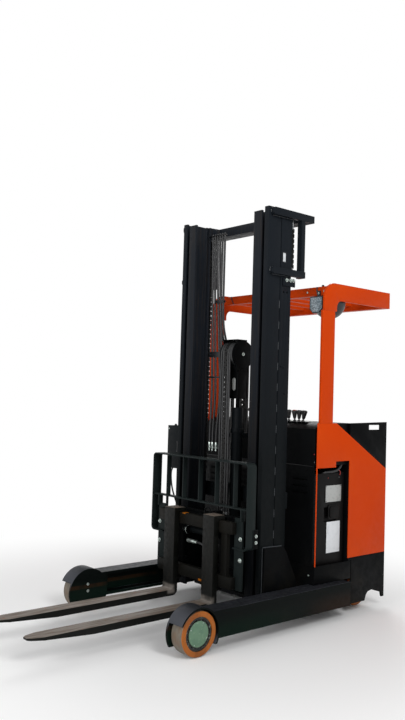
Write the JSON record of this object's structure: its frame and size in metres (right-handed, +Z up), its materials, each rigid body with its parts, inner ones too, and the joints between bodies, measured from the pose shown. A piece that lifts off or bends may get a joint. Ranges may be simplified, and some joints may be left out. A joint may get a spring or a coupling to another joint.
{
  "type": "stand-on moving-mast reach truck",
  "caption": "Stand-on electric reach truck: straddle legs, reach carriage, two-stage mast, tilting side-shift forks, overhead guard.",
  "frame": {"origin": "on the floor, at the middle of the whole truck's box", "axes": "+X forward along the forks, +Y to the truck's left, +Z up"},
  "size_m": [2.504, 1.194, 2.547],
  "materials": {
    "orange_paint": "satin paint",
    "black_paint": "textured paint",
    "mast_paint": "satin paint",
    "worn_steel": "worn and browned",
    "roller_steel": "greased",
    "rod_chrome": "polished",
    "load_tyre": "moulded polyurethane",
    "cast_hub": "greasy casting",
    "hub_primer": "primer",
    "black_plastic": "moulded",
    "rubber_mat": "ribbed",
    "lamp_body": "moulded",
    "chain_steel": "oiled"
  },
  "bodies": {
    "chassis": {"leg_left": "black_paint", "leg_right": "black_paint", "load_axles": "roller_steel", "cross_frame": "black_paint", "reach_cylinder": "black_paint", "battery_tray": "black_paint", "battery": "black_plastic", "side_panel_left": "orange_paint", "side_panel_right": "orange_paint", "rear_wall_left": "black_paint", "rear_wall_right": "black_paint", "hood": "black_plastic", "front_panel": "black_paint", "bulkhead": "black_paint", "platform": "black_paint", "floor_mat": "rubber_mat", "drive_cover": "black_paint", "drive_motor": "black_paint", "guard_posts": "orange_paint", "guard_roof": "orange_paint", "work_lamp": "lamp_body", "control_levers": "black_plastic", "steering_column": "black_paint"},
    "load_wheel_left": {"load_tyre_left": "load_tyre", "load_hub_left": "cast_hub", "load_hub_cover_left": "hub_primer"},
    "load_wheel_right": {"load_tyre_right": "load_tyre", "load_hub_right": "cast_hub", "load_hub_cover_right": "hub_primer"},
    "drive_unit": {"drive_gearbox": "black_paint"},
    "drive_wheel": {"drive_tyre": "load_tyre", "drive_hub": "cast_hub"},
    "caster_swivel": {"caster_fork": "black_paint"},
    "caster_pair": {"caster_wheels": "load_tyre"},
    "steering": {"steering_wheel": "black_plastic"},
    "reach_carriage": {"reach_frame": "black_paint", "reach_rollers": "roller_steel", "reach_rod": "rod_chrome", "outer_mast_left": "mast_paint", "outer_mast_right": "mast_paint", "outer_mast_ties": "mast_paint", "lift_cylinders": "mast_paint", "mast_side_cover": "black_paint"},
    "inner_mast": {"inner_mast_left": "mast_paint", "inner_mast_right": "mast_paint", "inner_mast_ties": "mast_paint", "lift_rods": "rod_chrome", "free_lift_cylinder": "mast_paint", "mast_hoses": "black_plastic"},
    "crosshead": {"crosshead": "mast_paint", "chain_sheave": "roller_steel", "lift_chain": "chain_steel"},
    "lift_carriage": {"lift_carriage": "black_paint", "carriage_rollers": "roller_steel"},
    "tilt_frame": {"tilt_frame": "black_paint", "side_shift_cylinder": "mast_paint"},
    "fork_carriage": {"fork_bars": "black_paint", "load_backrest": "black_paint"},
    "fork_left": {"fork_left": "worn_steel"},
    "fork_right": {"fork_right": "worn_steel"}
  },
  "joints": [
    {"name": "load_wheel_left_spin", "type": "hinge", "parent": "chassis", "child": "load_wheel_left", "pos_m": [0.451, 0.5445, 0.12], "axis": [0, 1, 0], "continuous": true},
    {"name": "load_wheel_right_spin", "type": "hinge", "parent": "chassis", "child": "load_wheel_right", "pos_m": [0.451, -0.5445, 0.12], "axis": [0, 1, 0], "continuous": true},
    {"name": "drive_steer", "type": "hinge", "parent": "chassis", "child": "drive_unit", "pos_m": [-1.074, 0.395, 0.2], "axis": [0, 0, 1], "range_deg": [-90, 90]},
    {"name": "drive_wheel_spin", "type": "hinge", "parent": "drive_unit", "child": "drive_wheel", "pos_m": [-1.074, 0.395, 0.115], "axis": [0, 1, 0], "continuous": true},
    {"name": "caster_swivel", "type": "hinge", "parent": "chassis", "child": "caster_swivel", "pos_m": [-1.049, -0.385, 0.2], "axis": [0, 0, 1], "continuous": true},
    {"name": "caster_roll", "type": "hinge", "parent": "caster_swivel", "child": "caster_pair", "pos_m": [-1.089, -0.385, 0.075], "axis": [0, 1, 0], "continuous": true},
    {"name": "steering_turn", "type": "hinge", "parent": "chassis", "child": "steering", "pos_m": [-0.759, -0.19, 1.286], "axis": [0, 0, 1], "continuous": true},
    {"name": "mast_reach", "type": "slide", "parent": "chassis", "child": "reach_carriage", "axis": [1, 0, 0], "range_m": [0, 0.55]},
    {"name": "inner_mast_lift", "type": "slide", "parent": "reach_carriage", "child": "inner_mast", "axis": [0, 0, 1], "range_m": [0, 1.85]},
    {"name": "free_lift", "type": "slide", "parent": "inner_mast", "child": "lift_carriage", "axis": [0, 0, 1], "range_m": [0, 1.42]},
    {"name": "crosshead_lift", "type": "slide", "parent": "inner_mast", "child": "crosshead", "axis": [0, 0, 1], "range_m": [0, 0.71]},
    {"name": "fork_tilt", "type": "hinge", "parent": "lift_carriage", "child": "tilt_frame", "pos_m": [-0.099, 0, 0.3], "axis": [0, 1, 0], "range_deg": [-4, 3]},
    {"name": "side_shift", "type": "slide", "parent": "tilt_frame", "child": "fork_carriage", "axis": [0, 1, 0], "range_m": [-0.045, 0.045]},
    {"name": "fork_left_adjust", "type": "slide", "parent": "fork_carriage", "child": "fork_left", "axis": [0, 1, 0], "range_m": [-0.06, 0.09]},
    {"name": "fork_right_adjust", "type": "slide", "parent": "fork_carriage", "child": "fork_right", "axis": [0, 1, 0], "range_m": [-0.09, 0.06]}
  ],
  "couplings": [
    {"joint": "crosshead_lift", "follows": "free_lift", "ratio": 0.5}
  ]
}
